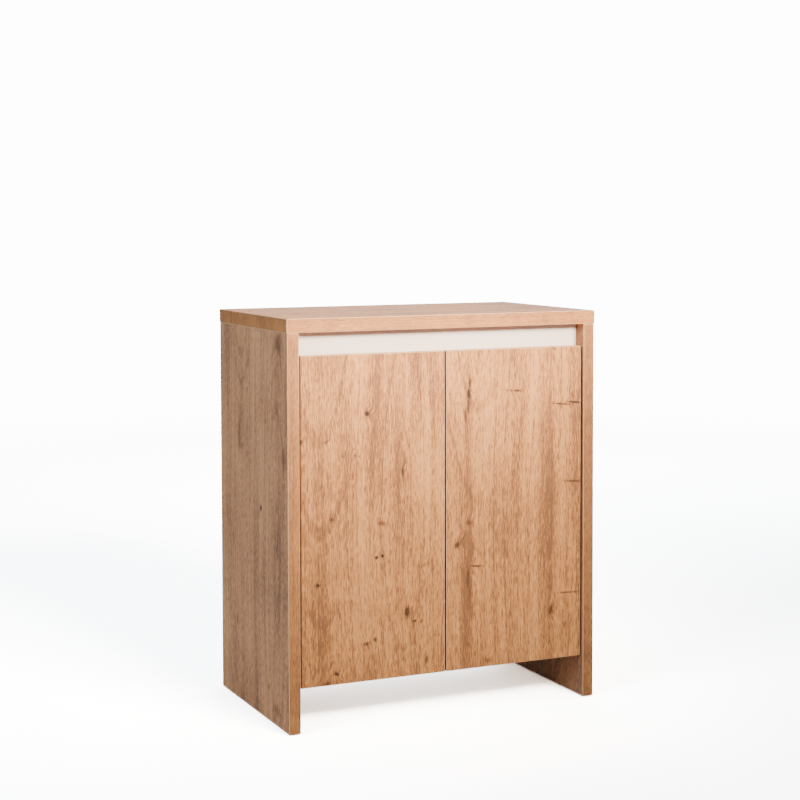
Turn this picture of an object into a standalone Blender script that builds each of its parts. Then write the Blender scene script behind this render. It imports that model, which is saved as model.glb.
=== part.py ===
"""Aquarium stand cabinet: a flat-pack box on two side panels, with a thick top, a bottom
panel raised off the floor, a shelf and two inset doors on concealed cup hinges.

The origin is the middle of the footprint on the floor. +X is the cabinet's right as seen
from the front, +Y is its back and +Z is up. All sizes are in metres.
"""

import math

import bmesh
import bpy
from mathutils import Matrix, Vector

# ---------------------------------------------------------------- driving sizes
# carcass
WIDTH = 0.612                 # over the two side panels
DEPTH = 0.360                 # of the side panels
HEIGHT = 0.730                # floor to the top panel's upper face
TOP_OVERHANG = 0.001          # of the top panel at the front and at each side
TOP_THICKNESS = 0.025
SIDE_THICKNESS = 0.022
BOARD_THICKNESS = 0.016       # bottom panel, shelf and rails
BACK_THICKNESS = 0.004
RAIL_HEIGHT = 0.080
EDGE_RADIUS = 0.0008          # of the edge-banded front edges

# doors
DOOR_THICKNESS = 0.016
DOOR_BOTTOM = 0.080           # the doors' lower edges above the floor
FINGER_SLOT = 0.041           # from the doors' upper edges to the top panel
DOOR_SETBACK = 0.005          # behind the side panels' front edges
DOOR_SIDE_CLEARANCE = 0.00215  # left beside a turning door's front corner
DOOR_MIDDLE_GAP = 0.003
SWING_CLEARANCE = 0.0007      # between a turning door's back corner and what is behind it
BOTTOM_RAISE = 0.002          # bottom panel's underside above the doors' lower edges

# shelf and its holes
SHELF_UNDERSIDE = 0.350
SHELF_SETBACK = 0.026         # behind the rail's front face
SHELF_SIDE_CLEARANCE = 0.0012
PIN_DIAMETER = 0.005
PIN_DEPTH = 0.008             # into the side panel
PIN_REACH = 0.008             # under the shelf
PIN_COLLAR_DIAMETER = 0.0075
PIN_COLLAR_LENGTH = 0.0008
PIN_INSET = 0.040             # from the shelf's front and back edges
PIN_PITCH = 0.032
PIN_HOLES_EACH_WAY = 2        # above and below the hole in use
PIN_HOLE_SIDES = 10

# openings in the back panel
HOSE_WIDTH = 0.090
HOSE_HEIGHT = 0.060
HOSE_CORNER = 0.015
HOSE_FROM_SIDE = 0.045
HOSE_BELOW_RAIL = 0.025

# fittings
CAM_DIAMETER = 0.015
CAM_REACH = 0.034             # from the joint to the cam's middle
CAM_PAST_BOLT = 0.0035        # of the cam's hole beyond the bolt's axis
CAM_POCKET_START = 0.0015     # of the pocket for the bolt's head, behind the cam's middle
CAM_SLOT_LENGTH = 0.0064      # of the slot for a screwdriver
CAM_SLOT_WIDTH = 0.0012
CAM_SLOT_DEPTH = 0.0018
CAM_FRONT_INSET = 0.080       # from the side panel's front edge
CAM_BACK_INSET = 0.070        # from the side panel's back edge
BOLT_THREAD_DIAMETER = 0.0052
BOLT_THREAD_DEPTH = 0.011
BOLT_SHANK_DIAMETER = 0.0070
BOLT_NECK_DIAMETER = 0.0040
BOLT_HEAD_LENGTH = 0.003
BOLT_NECK_LENGTH = 0.0065
DOWEL_DIAMETER = 0.008
DOWEL_LENGTH = 0.032
DOWEL_IN_SIDE = 0.012
BUMPER_DIAMETER = 0.008
BUMPER_FROM_MIDDLE = 0.030
BUMPER_BELOW_DOOR_TOP = 0.018
GLIDE_HEIGHT = 0.002          # floor to the side panel's lower edge
GLIDE_DIAMETER = 0.016
GLIDE_EDGE_INSET = 0.001      # of the worn edge that stands on the floor
GLIDE_EDGE_HEIGHT = 0.0006
GLIDE_INSET = 0.025
NAIL_DIAMETER = 0.002
NAIL_DEPTH = 0.014
NAIL_HOLE_SIDES = 8

# hinge, in its own plan: u runs in from the door's hinged edge, v back from its back face
HINGE_FROM_DOOR_END = 0.090
OPENING_ANGLE = math.radians(105)
AXIS_U = 0.0115
AXIS_V = -0.0115              # the door's axis lies inside its thickness
CUP_EDGE = 0.005              # from the door's edge to the cup's bore
CUP_DIAMETER = 0.035
CUP_WALL = 0.0016
CUP_FLOOR = 0.0007
CUP_BORE_DEPTH = 0.012        # into the door's back
FLANGE_THICKNESS = 0.0009
FLANGE_LIP = 0.0025           # around the cup
FLANGE_WING = 0.030           # reach above and below the cup's middle
FLANGE_WING_WIDTH = 0.014
FLANGE_WING_CORNER = 0.004
FLANGE_WING_DROP = 0.0001     # of the wings' face below the rim's
NOTCH_HALF = 0.0092           # of the gap in the cup's rim that the links pass
NOTCH_DEPTH = 0.0059
NOTCH_REACH = 0.012           # from the door's axis towards the door's edge
LINK_THICKNESS = 0.0014
LINK_WIDTH = 0.0046
LINK_SPLIT = 0.0004           # each link's distance from the hinge's middle
LINK_END_PLAY = 0.0002        # in the eye around the cup's pin, beyond what the turning needs
PIVOT_EYE_WALL = 0.0011
END_EYE_WALL = 0.0007
EYE_PROUD = 0.0001            # of the eyes' faces beyond the link's
ARM_PIN_DIAMETER = 0.0024
CUP_PIN_DIAMETER = 0.0012
CUP_PIN_SIDES = 8
# each link turns on the arm at a distance and bearing from the door's axis, and reaches
# to a pin in the cup at its own distance from that axis
OUTER_LINK = {"reach": 0.0223, "bearing": math.radians(34), "crank": 0.0046,
              "bends": [(0.0195, -0.0091), (0.0270, -0.0062)]}
INNER_LINK = {"reach": 0.0255, "bearing": math.radians(46), "crank": 0.0040,
              "bends": [(0.0205, -0.0092), (0.0266, -0.0035)]}
ARM_HALF = 0.0072
ARM_WALL = 0.0015
ARM_BACK = 0.070              # the arm's far end
ARM_HIGH = 0.0216             # the channel's outer face
ARM_LOW = 0.011               # the channel's open side
ARM_WEB = 0.001275            # thickness of the channel's back
ARM_NOSE = [(-0.0024, -0.0016), (0.0010, -0.0026), (0.0026, -0.0010)]  # from the outer link's pivot
ARM_SHOULDER = (0.0042, 0.0032)  # these four are from the inner link's pivot
ARM_HEEL = (-0.0028, 0.0012)
HOLLOW_START = (0.0027, 0.0038)
HOLLOW_MOUTH = (0.0108, -0.0008)
ARM_KNEE = (0.0165, 0.0180)
ARM_SLOPE = 0.001             # the two ends of the step from the slim nose to the channel,
ARM_STEP = 0.004              # both behind the plate's front
HOLLOW_SLOPE = 0.0015
PLATE_HALF = 0.0052
PLATE_FRONT = 0.024
PLATE_BACK = 0.074
PLATE_HIGH = 0.017
WING_FRONT = 0.029
WING_BACK = 0.047
WING_HALF = 0.024
WING_THICKNESS = 0.002

TOUCH = 0.0003                # gap kept between pieces that touch
RUN = 0.0003                  # radial clearance of pins, bolts and dowels in their holes
PAST = 0.001                  # how far a cutter passes the face it enters
CUP_SIDES = 24
SMOOTH_UP_TO = math.radians(35)

# ---------------------------------------------------------------- sizes that follow
FRONT = TOP_OVERHANG - (DEPTH + TOP_OVERHANG) / 2
BACK = FRONT + DEPTH
SIDE_OUTER = WIDTH / 2
SIDE_INNER = SIDE_OUTER - SIDE_THICKNESS
SIDE_BOTTOM = GLIDE_HEIGHT
TOP_UNDERSIDE = HEIGHT - TOP_THICKNESS
SIDE_TOP = TOP_UNDERSIDE - TOUCH
BETWEEN_SIDES = SIDE_INNER - TOUCH
DOOR_FRONT = FRONT + DOOR_SETBACK
DOOR_BACK = DOOR_FRONT + DOOR_THICKNESS
DOOR_TOP = TOP_UNDERSIDE - FINGER_SLOT
# how far a door's front corner swings to its side, and its back corner inwards, as it opens
FRONT_CORNER_SWING = math.hypot(AXIS_U, DOOR_THICKNESS + AXIS_V) - AXIS_U
BACK_CORNER_SWING = math.hypot(AXIS_U, AXIS_V) + AXIS_V
DOOR_SIDE_GAP = FRONT_CORNER_SWING + DOOR_SIDE_CLEARANCE
RAIL_FRONT = DOOR_BACK + BACK_CORNER_SWING + SWING_CLEARANCE
CUP_U = CUP_EDGE + CUP_DIAMETER / 2
INNER_BACK = BACK - BACK_THICKNESS - TOUCH
RAIL_BOTTOM = SIDE_TOP - RAIL_HEIGHT
BOTTOM_UNDERSIDE = DOOR_BOTTOM + BOTTOM_RAISE
SHELF_FRONT = RAIL_FRONT + SHELF_SETBACK
SHELF_BACK = INNER_BACK - TOUCH
PIN_LEVEL = SHELF_UNDERSIDE - TOUCH - PIN_DIAMETER / 2
PIN_LINES = {"front": SHELF_FRONT + PIN_INSET, "back": SHELF_BACK - PIN_INSET}
CAM_LINES = {"front": FRONT + CAM_FRONT_INSET, "back": BACK - CAM_BACK_INSET}
GLIDE_LINES = {"front": FRONT + GLIDE_INSET, "back": BACK - GLIDE_INSET}
DOWEL_LEVEL = SIDE_TOP - RAIL_HEIGHT / 2
DOWEL_LINES = {"front": RAIL_FRONT + BOARD_THICKNESS / 2, "rear": INNER_BACK - BOARD_THICKNESS / 2}
SIDES = {"left": -1, "right": 1}
HINGE_LEVELS = {"upper": DOOR_TOP - HINGE_FROM_DOOR_END, "lower": DOOR_BOTTOM + HINGE_FROM_DOOR_END}


# ---------------------------------------------------------------- materials
def material(name, colour, roughness, metallic=0.0):
    made = bpy.data.materials.new(name)
    made.use_nodes = True
    shader = made.node_tree.nodes["Principled BSDF"]
    shader.inputs["Base Color"].default_value = (*colour, 1.0)
    shader.inputs["Roughness"].default_value = roughness
    shader.inputs["Metallic"].default_value = metallic
    return made


# ---------------------------------------------------------------- shapes
def straight(a, b, c):
    """Outlines drawn in X and Y, extruded up Z."""
    return Vector((a, b, c))


def along_x(a, b, c):
    """Outlines drawn in Y and Z, extruded along X."""
    return Vector((c, a, b))


def along_y(a, b, c):
    """Outlines drawn in X and Z, extruded along Y."""
    return Vector((a, c, b))


def extruded(outline, low, high, place):
    """A closed prism on an outline, put in the world by place(a, b, height)."""
    body = bmesh.new()
    lower = [body.verts.new(place(a, b, low)) for a, b in outline]
    upper = [body.verts.new(place(a, b, high)) for a, b in outline]
    body.faces.new(lower)
    body.faces.new(list(reversed(upper)))
    for index in range(len(outline)):
        after = (index + 1) % len(outline)
        body.faces.new([lower[index], upper[index], upper[after], lower[after]])
    bmesh.ops.recalc_face_normals(body, faces=body.faces)
    return body


def turned(profile, place, middle=(0.0, 0.0), sides=12):
    """A solid of revolution: profile holds (radius, height) from one end to the other."""
    body = bmesh.new()
    rings = []
    for radius, height in profile:
        ring = []
        for step in range(sides):
            angle = 2 * math.pi * step / sides
            a = middle[0] + radius * math.cos(angle)
            b = middle[1] + radius * math.sin(angle)
            ring.append(body.verts.new(place(a, b, height)))
        rings.append(ring)
    body.faces.new(rings[0])
    body.faces.new(list(reversed(rings[-1])))
    for lower, upper in zip(rings, rings[1:]):
        for index in range(sides):
            after = (index + 1) % sides
            body.faces.new([lower[index], upper[index], upper[after], lower[after]])
    bmesh.ops.recalc_face_normals(body, faces=body.faces)
    return body


def rod(middle, radius, low, high, place, sides=12):
    return turned([(radius, low), (radius, high)], place, middle, sides)


def slab(x0, x1, y0, y1, z0, z1):
    return extruded([(x0, y0), (x1, y0), (x1, y1), (x0, y1)], z0, z1, straight)


def rounded_outline(a0, a1, b0, b1, radius, steps=4):
    """A rectangle's outline with round corners."""
    points = []
    corners = [(a1 - radius, b1 - radius, 0), (a0 + radius, b1 - radius, 90),
               (a0 + radius, b0 + radius, 180), (a1 - radius, b0 + radius, 270)]
    for a, b, start in corners:
        for step in range(steps + 1):
            angle = math.radians(start + 90 * step / steps)
            points.append((a + radius * math.cos(angle), b + radius * math.sin(angle)))
    return points


def strip_outline(path, thickness):
    """The outline of a bent strip of even thickness along a path of points."""
    left, right = [], []
    for index, (a, b) in enumerate(path):
        before = Vector(path[max(index - 1, 0)])
        after = Vector(path[min(index + 1, len(path) - 1)])
        here = Vector((a, b))
        normals = [Vector((-(q - p).y, (q - p).x)).normalized()
                   for p, q in ((before, here), (here, after)) if (q - p).length > 0]
        mitre = sum(normals, Vector((0.0, 0.0))).normalized()
        half = mitre * (thickness / 2 / mitre.dot(normals[0]))
        left.append(tuple(here + half))
        right.append(tuple(here - half))
    return left + right[::-1]


def merged(bodies):
    """Bodies that don't touch, in one mesh."""
    whole = bmesh.new()
    for body in bodies:
        copy = bpy.data.meshes.new("step")
        body.to_mesh(copy)
        body.free()
        whole.from_mesh(copy)
        bpy.data.meshes.remove(copy)
    return whole


def placed(name, body, finish=None, origin=(0.0, 0.0, 0.0), smooth=False):
    """An object from a body in world coordinates, with its origin at a point."""
    body.transform(Matrix.Translation(-Vector(origin)))
    mesh = bpy.data.meshes.new(name)
    body.to_mesh(mesh)
    body.free()
    if smooth:
        mesh.shade_smooth()
        mesh.set_sharp_from_angle(angle=SMOOTH_UP_TO)
    made = bpy.data.objects.new(name, mesh)
    made.location = origin
    bpy.context.scene.collection.objects.link(made)
    if finish:
        mesh.materials.append(finish)
    return made


def combined(target, operation, bodies):
    """A Boolean with a hidden helper object made of bodies in world coordinates."""
    helper = placed(f"{target.name}_{operation.lower()}_{len(target.modifiers)}", merged(bodies))
    helper.hide_render = True
    helper.display_type = "WIRE"
    step = target.modifiers.new(operation.title(), "BOOLEAN")
    step.operation = operation
    step.solver = "EXACT"
    step.object = helper


def cut(target, bodies):
    combined(target, "DIFFERENCE", bodies)


def join(target, bodies):
    combined(target, "UNION", bodies)


def eased(target):
    """Softens a board's edges as its edge banding does."""
    edge = target.modifiers.new("Edges", "BEVEL")
    edge.width = EDGE_RADIUS
    edge.segments = 1
    edge.limit_method = "ANGLE"


def board(name, finish, x0, x1, y0, y1, z0, z1, origin=(0.0, 0.0, 0.0)):
    made = placed(name, slab(x0, x1, y0, y1, z0, z1), finish, origin)
    eased(made)
    return made


# ---------------------------------------------------------------- carcass
def side_panel(side, name, oak):
    inner = side * SIDE_INNER
    outer = side * SIDE_OUTER
    middle = (inner + outer) / 2
    inward = -side * PAST
    panel = board(f"{name}_side_panel", oak, min(inner, outer), max(inner, outer),
                  FRONT, BACK, SIDE_BOTTOM, SIDE_TOP)
    holes = []
    for line in CAM_LINES.values():
        cam_level = TOP_UNDERSIDE - CAM_REACH
        cam_end = middle + side * CAM_PAST_BOLT
        cam = rod((line, cam_level), CAM_DIAMETER / 2, inner + inward, cam_end, along_x)
        shank = rod((middle, line), BOLT_SHANK_DIAMETER / 2 + RUN, cam_level, SIDE_TOP + PAST, straight)
        cut(panel, [cam])
        cut(panel, [shank])
        thread = rod((line, BOTTOM_UNDERSIDE + BOARD_THICKNESS / 2), BOLT_THREAD_DIAMETER / 2 + RUN,
                     inner + inward, inner + side * (BOLT_THREAD_DEPTH + TOUCH), along_x)
        holes.append(thread)
    for line in DOWEL_LINES.values():
        holes.append(rod((line, DOWEL_LEVEL), DOWEL_DIAMETER / 2 + RUN,
                         inner + inward, inner + side * (DOWEL_IN_SIDE + TOUCH), along_x))
    for line in PIN_LINES.values():
        for step in range(-PIN_HOLES_EACH_WAY, PIN_HOLES_EACH_WAY + 1):
            holes.append(rod((line, PIN_LEVEL + step * PIN_PITCH), PIN_DIAMETER / 2 + RUN,
                             inner + inward, inner + side * (PIN_DEPTH + TOUCH), along_x, PIN_HOLE_SIDES))
    for line in GLIDE_LINES.values():
        holes.append(rod((middle, line), NAIL_DIAMETER / 2 + RUN, SIDE_BOTTOM - PAST,
                         SIDE_BOTTOM + NAIL_DEPTH, straight, NAIL_HOLE_SIDES))
    cut(panel, holes)


def top_panel(oak):
    reach = SIDE_OUTER + TOP_OVERHANG
    panel = board("top_panel", oak, -reach, reach, FRONT - TOP_OVERHANG, BACK, TOP_UNDERSIDE, HEIGHT)
    middle = (SIDE_INNER + SIDE_OUTER) / 2
    cut(panel, [rod((side * middle, line), BOLT_THREAD_DIAMETER / 2 + RUN, TOP_UNDERSIDE - PAST,
                    TOP_UNDERSIDE + BOLT_THREAD_DEPTH + TOUCH, straight)
                for side in SIDES.values() for line in CAM_LINES.values()])


def bottom_panel(light_board):
    middle = BOTTOM_UNDERSIDE + BOARD_THICKNESS / 2
    panel = board("bottom_panel", light_board, -BETWEEN_SIDES, BETWEEN_SIDES,
                  RAIL_FRONT, INNER_BACK, BOTTOM_UNDERSIDE, BOTTOM_UNDERSIDE + BOARD_THICKNESS)
    cut(panel, [rod((side * (SIDE_INNER - CAM_REACH), line), CAM_DIAMETER / 2,
                    BOTTOM_UNDERSIDE - PAST, middle + CAM_PAST_BOLT, straight)
                for side in SIDES.values() for line in CAM_LINES.values()])
    cut(panel, [rod((line, middle), BOLT_SHANK_DIAMETER / 2 + RUN, side * (SIDE_INNER - CAM_REACH),
                    side * (BETWEEN_SIDES + PAST), along_x)
                for side in SIDES.values() for line in CAM_LINES.values()])


def rail(name, front, finish, line):
    panel = board(name, finish, -BETWEEN_SIDES, BETWEEN_SIDES, front, front + BOARD_THICKNESS,
                  RAIL_BOTTOM, SIDE_TOP)
    depth = DOWEL_LENGTH - DOWEL_IN_SIDE
    cut(panel, [rod((line, DOWEL_LEVEL), DOWEL_DIAMETER / 2 + RUN, side * (SIDE_INNER - depth - TOUCH),
                    side * (SIDE_INNER + PAST), along_x) for side in SIDES.values()])


def back_panel(light_board):
    panel = board("back_panel", light_board, -BETWEEN_SIDES, BETWEEN_SIDES, BACK - BACK_THICKNESS, BACK,
                  BOTTOM_UNDERSIDE, SIDE_TOP)
    high = RAIL_BOTTOM - HOSE_BELOW_RAIL
    near = SIDE_INNER - HOSE_FROM_SIDE
    openings = []
    for side in SIDES.values():
        edges = sorted((side * near, side * (near - HOSE_WIDTH)))
        outline = rounded_outline(*edges, high - HOSE_HEIGHT, high, HOSE_CORNER)
        openings.append(extruded(outline, BACK - BACK_THICKNESS - PAST, BACK + PAST, along_y))
    cut(panel, openings)


def shelf(light_board):
    reach = SIDE_INNER - SHELF_SIDE_CLEARANCE
    board("shelf", light_board, -reach, reach, SHELF_FRONT, SHELF_BACK,
          SHELF_UNDERSIDE, SHELF_UNDERSIDE + BOARD_THICKNESS)


def shelf_pin(side, name, line, steel):
    inner = side * SIDE_INNER
    radius = PIN_DIAMETER / 2
    collar = PIN_COLLAR_DIAMETER / 2
    wall_face = inner - side * TOUCH
    collar_face = inner - side * (TOUCH + PIN_COLLAR_LENGTH)
    profile = [(radius, inner + side * PIN_DEPTH), (radius, wall_face), (collar, wall_face),
               (collar, collar_face), (radius, collar_face), (radius, inner - side * (TOUCH + PIN_REACH))]
    # the collar is cut off level with the peg where the shelf passes over it
    pin = placed(name, turned(profile, along_x, (line, PIN_LEVEL)), steel, smooth=True)
    high = PIN_LEVEL + radius
    reach = PIN_DEPTH + PIN_REACH
    cut(pin, [slab(inner - reach, inner + reach, line - PIN_COLLAR_DIAMETER, line + PIN_COLLAR_DIAMETER,
                   high, high + PIN_COLLAR_DIAMETER)])


# ---------------------------------------------------------------- fittings
def cam(name, place, centre, face, inward, bolt_depth, toward_joint, zinc):
    """A cam in a hole: face is where its slotted end lies, inward the way into the board."""
    radius = CAM_DIAMETER / 2 - RUN
    start = face + inward * TOUCH
    end = face + inward * (bolt_depth + CAM_PAST_BOLT - TOUCH)
    body = placed(name, rod(centre, radius, start, end, place), zinc, smooth=True)
    # the pocket that the bolt's head sits in, open towards the joint
    bolt_axis = face + inward * bolt_depth
    half = BOLT_SHANK_DIAMETER / 2
    a, b = centre
    ta, tb = toward_joint
    far = CAM_DIAMETER
    corners = [(-CAM_POCKET_START, -half), (far, -half), (far, half), (-CAM_POCKET_START, half)]
    outline = [(a + ta * s - tb * t, b + tb * s + ta * t) for s, t in corners]
    cut(body, [extruded(outline, bolt_axis - inward * half, end + inward * PAST, place)])
    long, wide = CAM_SLOT_LENGTH / 2, CAM_SLOT_WIDTH / 2
    slot = [(a - long, b - wide), (a + long, b - wide), (a + long, b + wide), (a - long, b + wide)]
    cut(body, [extruded(slot, start - inward * PAST, start + inward * CAM_SLOT_DEPTH, place)])


def cam_bolt(name, place, middle, joint, inward, steel):
    """A bolt screwed into one board at joint, reaching inward into the other board's cam."""
    def at(distance):
        return joint + inward * distance
    head_end = CAM_REACH
    neck_start = head_end - BOLT_HEAD_LENGTH - BOLT_NECK_LENGTH
    thread, neck = BOLT_THREAD_DIAMETER / 2, BOLT_NECK_DIAMETER / 2
    shank, head = BOLT_SHANK_DIAMETER / 2, BOLT_SHANK_DIAMETER / 2 - RUN
    profile = [(thread, at(-BOLT_THREAD_DEPTH)), (thread, at(TOUCH)),
               (shank, at(2 * TOUCH)), (shank, at(neck_start)),
               (neck, at(neck_start)), (neck, at(head_end - BOLT_HEAD_LENGTH)),
               (head, at(head_end - BOLT_HEAD_LENGTH)), (head, at(head_end))]
    placed(name, turned(profile, place, middle), steel, smooth=True)


def fittings(zinc, steel, beech):
    middle = (SIDE_INNER + SIDE_OUTER) / 2
    bottom_middle = BOTTOM_UNDERSIDE + BOARD_THICKNESS / 2
    for hand, side in SIDES.items():
        inner = side * SIDE_INNER
        for line_name, line in CAM_LINES.items():
            cam(f"top_cam_{line_name}_{hand}", along_x, (line, TOP_UNDERSIDE - CAM_REACH), inner, side,
                SIDE_THICKNESS / 2, (0, 1), zinc)
            cam_bolt(f"top_bolt_{line_name}_{hand}", straight, (side * middle, line),
                     TOP_UNDERSIDE, -1, steel)
            cam(f"bottom_cam_{line_name}_{hand}", straight, (side * (SIDE_INNER - CAM_REACH), line),
                BOTTOM_UNDERSIDE, 1, BOARD_THICKNESS / 2, (side, 0), zinc)
            cam_bolt(f"bottom_bolt_{line_name}_{hand}", along_x, (line, bottom_middle),
                     inner, -side, steel)
        for line_name, line in DOWEL_LINES.items():
            ends = (inner + side * DOWEL_IN_SIDE, inner - side * (DOWEL_LENGTH - DOWEL_IN_SIDE))
            placed(f"{line_name}_rail_dowel_{hand}",
                   rod((line, DOWEL_LEVEL), DOWEL_DIAMETER / 2, *ends, along_x), beech, smooth=True)


def glides(plastic):
    middle = (SIDE_INNER + SIDE_OUTER) / 2
    under = SIDE_BOTTOM - TOUCH
    head, nail = GLIDE_DIAMETER / 2, NAIL_DIAMETER / 2
    profile = [(head - GLIDE_EDGE_INSET, 0.0), (head, GLIDE_EDGE_HEIGHT), (head, under),
               (nail, under), (nail, SIDE_BOTTOM + NAIL_DEPTH - TOUCH)]
    for hand, side in SIDES.items():
        for line_name, line in GLIDE_LINES.items():
            placed(f"glide_{line_name}_{hand}", turned(profile, straight, (side * middle, line)),
                   plastic, smooth=True)


def bumpers(rubber):
    level = DOOR_TOP - BUMPER_BELOW_DOOR_TOP
    for hand, side in SIDES.items():
        placed(f"door_bumper_{hand}",
               rod((side * BUMPER_FROM_MIDDLE, level), BUMPER_DIAMETER / 2, DOOR_BACK + TOUCH,
                   RAIL_FRONT - TOUCH, along_y), rubber, smooth=True)


# ---------------------------------------------------------------- doors and hinges
def door_edge(side):
    return side * (SIDE_INNER - DOOR_SIDE_GAP)


def hinge_place(side, level):
    """Takes a hinge's u, v and height to the world."""
    def place(u, v, height):
        return Vector((door_edge(side) - side * u, DOOR_BACK + v, level + height))
    return place


def cup_place(side, level):
    """Outlines drawn in u and height, extruded along v."""
    plan = hinge_place(side, level)

    def place(u, height, v):
        return plan(u, v, height)
    return place


def door_axis(side):
    return (door_edge(side) - side * AXIS_U, DOOR_BACK + AXIS_V, 0.0)


def door(side, name, oak):
    hinged = door_edge(side)
    middle = side * DOOR_MIDDLE_GAP / 2
    x, y, _ = door_axis(side)
    leaf = board(name, oak, min(hinged, middle), max(hinged, middle), DOOR_FRONT, DOOR_BACK,
                 DOOR_BOTTOM, DOOR_TOP, (x, y, (DOOR_BOTTOM + DOOR_TOP) / 2))
    bores = [rod((CUP_U, 0.0), CUP_DIAMETER / 2 + RUN, -CUP_BORE_DEPTH, PAST,
                 cup_place(side, level), CUP_SIDES)
             for level in HINGE_LEVELS.values()]
    cut(leaf, bores)


def link_points(link):
    """A link's pivot on the arm, the pin it reaches for in the closed cup, and its own end."""
    axis = Vector((AXIS_U, AXIS_V))
    half = OPENING_ANGLE / 2
    pivot = axis + link["reach"] * Vector((math.cos(link["bearing"]), math.sin(link["bearing"])))
    start = link["bearing"] + half
    pin = axis + link["crank"] * Vector((math.cos(start), math.sin(start)))
    longest = (pin - pivot).length
    shortest = link["reach"] - link["crank"]
    length = (longest + shortest) / 2
    end = pivot + (pin - pivot).normalized() * length
    return pivot, pin, end, (longest - shortest) / 2


def hinge_link(side, level, name, link, low, high, steel):
    place = hinge_place(side, level)
    pivot, _, end, slack = link_points(link)
    path = [tuple(end), *link["bends"], tuple(pivot)]
    x, y, z = place(*pivot, (low + high) / 2)
    body = placed(name, extruded(strip_outline(path, LINK_THICKNESS), low, high, place), steel, (x, y, z))
    pivot_hole = ARM_PIN_DIAMETER / 2 + RUN
    end_hole = CUP_PIN_DIAMETER / 2 + slack + LINK_END_PLAY
    join(body, [rod(pivot, pivot_hole + PIVOT_EYE_WALL, low - EYE_PROUD, high + EYE_PROUD, place),
                rod(end, end_hole + END_EYE_WALL, low - EYE_PROUD, high + EYE_PROUD, place)])
    cut(body, [rod(pivot, pivot_hole, low - PAST, high + PAST, place),
               rod(end, end_hole, low - PAST, high + PAST, place)])


def hinge_cup(side, level, name, steel):
    place = cup_place(side, level)
    plan = hinge_place(side, level)
    floor = TOUCH - CUP_BORE_DEPTH
    flange = TOUCH
    mouth = flange + FLANGE_THICKNESS
    lip = CUP_DIAMETER / 2 + FLANGE_LIP
    middle = (CUP_U, 0.0)
    x, y, _ = door_axis(side)
    cup = placed(name, turned([(CUP_DIAMETER / 2, floor), (CUP_DIAMETER / 2, flange),
                               (lip, flange), (lip, mouth)],
                              place, middle, CUP_SIDES), steel, (x, y, level))
    half = FLANGE_WING_WIDTH / 2
    wings = rounded_outline(CUP_U - half, CUP_U + half, -FLANGE_WING, FLANGE_WING, FLANGE_WING_CORNER)
    join(cup, [extruded(wings, flange, mouth - FLANGE_WING_DROP, place)])
    hollow = CUP_DIAMETER / 2 - CUP_WALL
    cut(cup, [rod(middle, hollow, floor + CUP_FLOOR, mouth + PAST, place, CUP_SIDES)])
    notch = [(AXIS_U - NOTCH_REACH, mouth - NOTCH_DEPTH), (AXIS_U, mouth - NOTCH_DEPTH),
             (AXIS_U, mouth + PAST), (AXIS_U - NOTCH_REACH, mouth + PAST)]
    cut(cup, [extruded(notch, -NOTCH_HALF, NOTCH_HALF, plan)])
    pins = []
    for link, upward in ((OUTER_LINK, 1), (INNER_LINK, -1)):
        pin = link_points(link)[1]
        wall = math.sqrt((CUP_DIAMETER / 2 - CUP_WALL / 2) ** 2 - (pin.x - CUP_U) ** 2)
        pins.append(rod(pin, CUP_PIN_DIAMETER / 2, upward * LINK_SPLIT, upward * wall, plan,
                        CUP_PIN_SIDES))
    join(cup, pins)


def hinge_arm(side, level, name, steel):
    """A channel that straddles the plate, with an ear each side of the links at its tip."""
    place = hinge_place(side, level)
    outer_pivot = link_points(OUTER_LINK)[0]
    inner_pivot = link_points(INNER_LINK)[0]

    def by_inner_pivot(offset):
        return tuple(inner_pivot + Vector(offset))
    outline = [*(tuple(outer_pivot + Vector(offset)) for offset in ARM_NOSE),
               by_inner_pivot(ARM_SHOULDER),
               (ARM_HIGH, PLATE_FRONT + ARM_SLOPE), (ARM_HIGH, ARM_BACK), (ARM_LOW, ARM_BACK),
               (ARM_LOW, PLATE_FRONT + ARM_STEP), ARM_KNEE, by_inner_pivot(ARM_HEEL)]
    arm = placed(name, extruded(outline, -ARM_HALF, ARM_HALF, place), steel)
    mouth = by_inner_pivot(HOLLOW_MOUTH)
    inside = [(0.0, ARM_BACK + PAST), (ARM_HIGH - ARM_WEB, ARM_BACK + PAST),
              (ARM_HIGH - ARM_WEB, PLATE_FRONT + HOLLOW_SLOPE), by_inner_pivot(HOLLOW_START), mouth,
              (mouth[0], AXIS_V), (0.0, AXIS_V)]
    cut(arm, [extruded(inside, ARM_WALL - ARM_HALF, ARM_HALF - ARM_WALL, place)])
    radius = ARM_PIN_DIAMETER / 2
    ear = ARM_HALF - ARM_WALL / 2
    join(arm, [rod(outer_pivot, radius, LINK_SPLIT, ear, place),
               rod(inner_pivot, radius, -ear, -LINK_SPLIT, place)])


def hinge_plate(side, level, name, steel):
    place = hinge_place(side, level)
    base = TOUCH - DOOR_SIDE_GAP
    block = [(base, PLATE_FRONT), (PLATE_HIGH, PLATE_FRONT), (PLATE_HIGH, PLATE_BACK), (base, PLATE_BACK)]
    wing = [(base, WING_FRONT), (base + WING_THICKNESS, WING_FRONT),
            (base + WING_THICKNESS, WING_BACK), (base, WING_BACK)]
    plate = placed(name, extruded(block, -PLATE_HALF, PLATE_HALF, place), steel)
    join(plate, [extruded(wing, -WING_HALF, WING_HALF, place)])


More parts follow.
